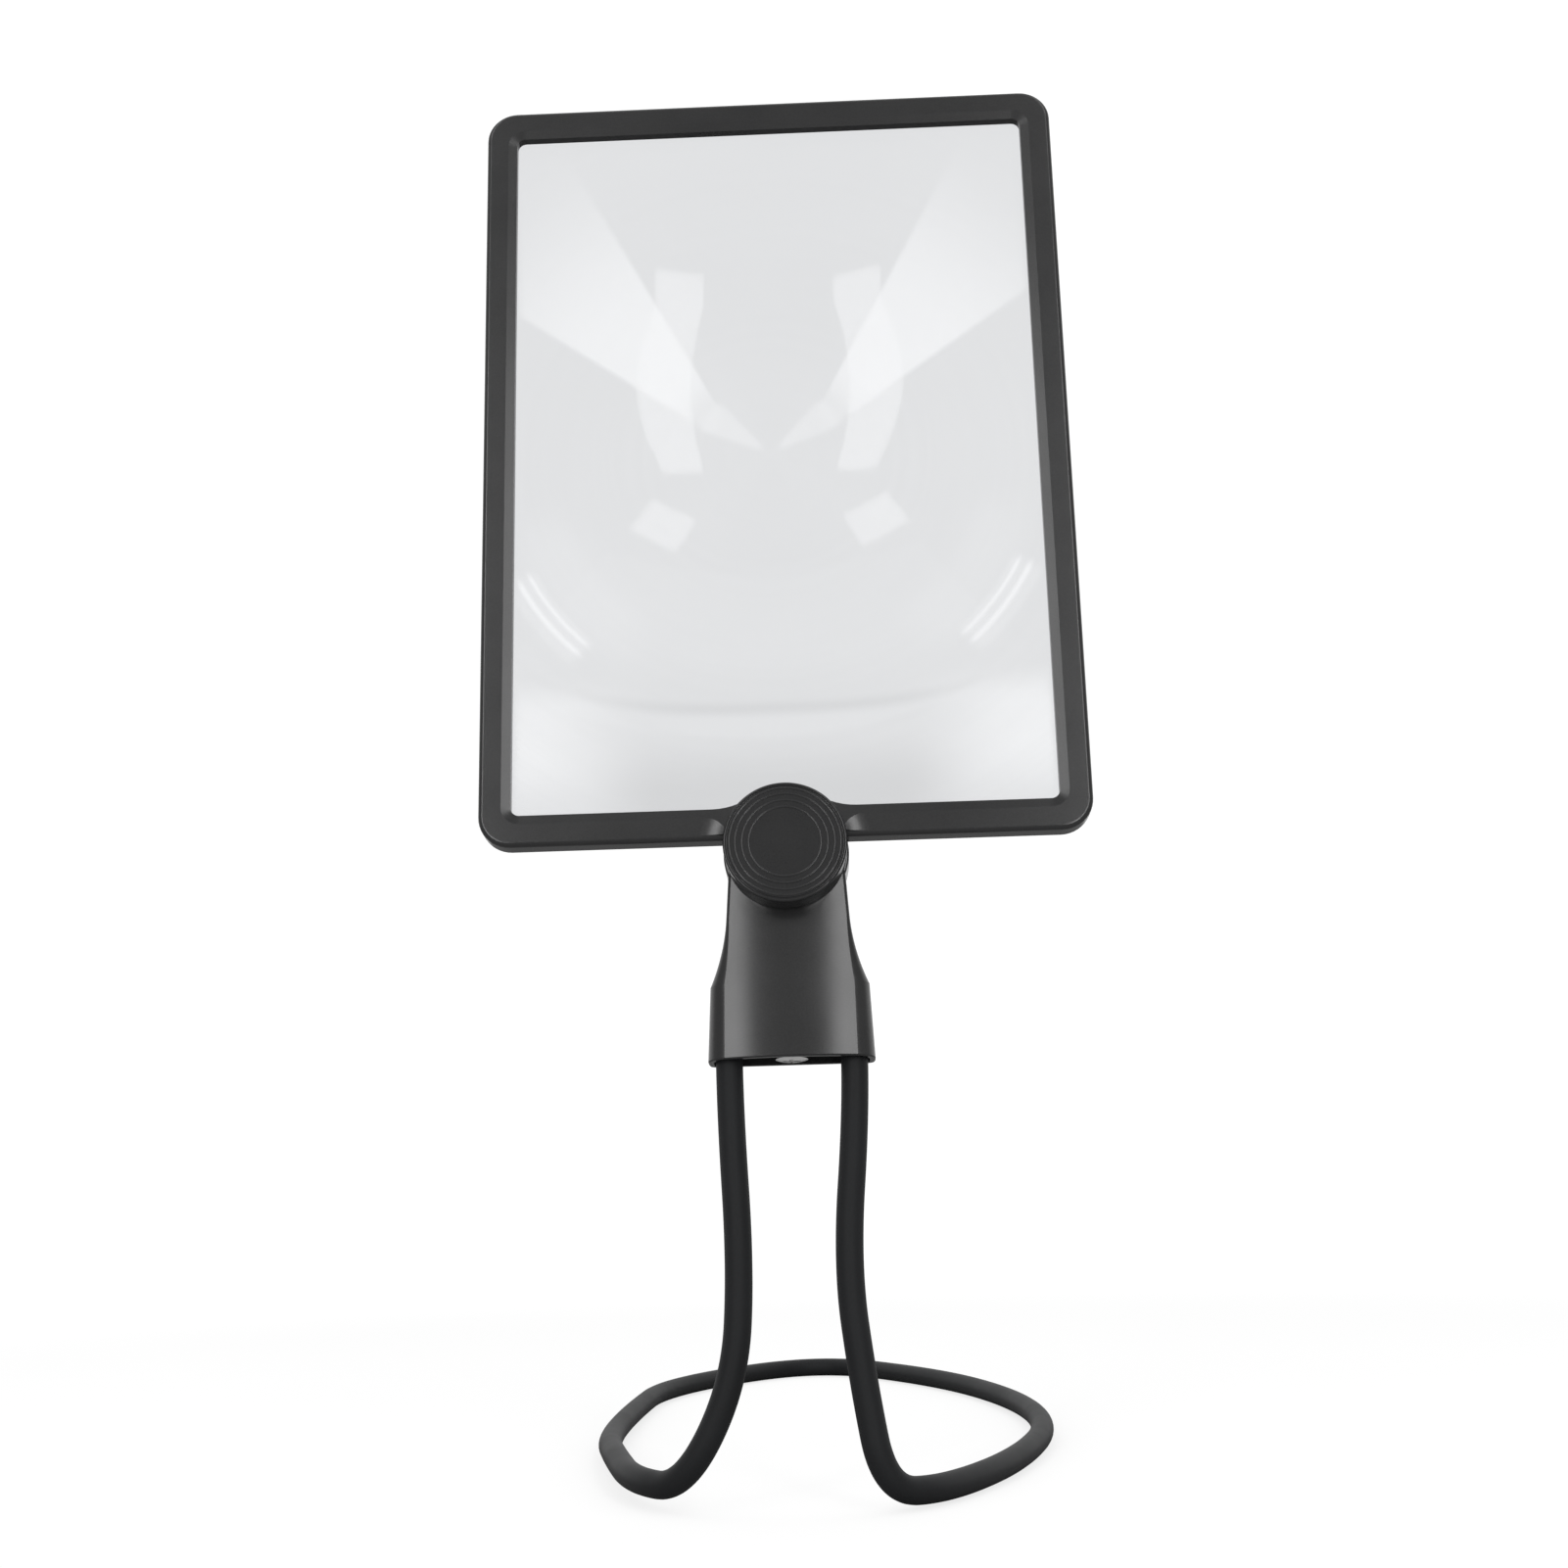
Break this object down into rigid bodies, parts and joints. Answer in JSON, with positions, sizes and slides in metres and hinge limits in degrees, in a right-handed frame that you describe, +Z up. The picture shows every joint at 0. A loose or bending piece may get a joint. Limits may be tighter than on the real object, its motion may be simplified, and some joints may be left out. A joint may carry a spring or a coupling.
{
  "type": "neck magnifier",
  "caption": "Hands-free reading magnifier: a framed sheet lens turning on a friction pivot over a bell-shaped bracket, carried by a bendable neck loop.",
  "frame": {"origin": "on the table, under the middle of the whole magnifier", "axes": "+X to the right as the picture shows it, +Y away from the viewer along the neck loop, +Z up"},
  "size_m": [0.1504, 0.3247, 0.3639],
  "materials": {
    "black_plastic": "satin moulded",
    "clear_lens": "clear, ring-grooved",
    "black_sleeve": "soft satin",
    "core_steel": "drawn",
    "dark_plastic": "matt moulded",
    "white_nylon": "plain",
    "steel": "zinc plated",
    "nickel": "bright nickel",
    "brass": "turned"
  },
  "bodies": {
    "stand": {"bracket_front": "black_plastic", "bracket_rear": "black_plastic", "bracket_screws": "steel", "pivot_screw": "steel", "flat_washer": "steel", "disc_spring": "steel", "hub_washer": "white_nylon", "friction_disc": "dark_plastic", "pivot_nut": "steel", "tube_block": "dark_plastic", "base_screw": "nickel", "base_insert": "brass", "left_ferrule": "steel", "right_ferrule": "steel", "ferrule_pins": "steel", "gooseneck_sleeve": "black_sleeve", "gooseneck_core": "core_steel"},
    "lens_frame": {"front_bezel": "black_plastic", "rear_bezel": "black_plastic", "fresnel_lens": "clear_lens", "hub_cap": "black_plastic"}
  },
  "joints": [
    {"name": "frame_swivel", "type": "hinge", "parent": "stand", "child": "lens_frame", "pos_m": [0, -0.14976, 0.1573], "axis": [0, -0.9911, 0.1329], "continuous": true}
  ]
}
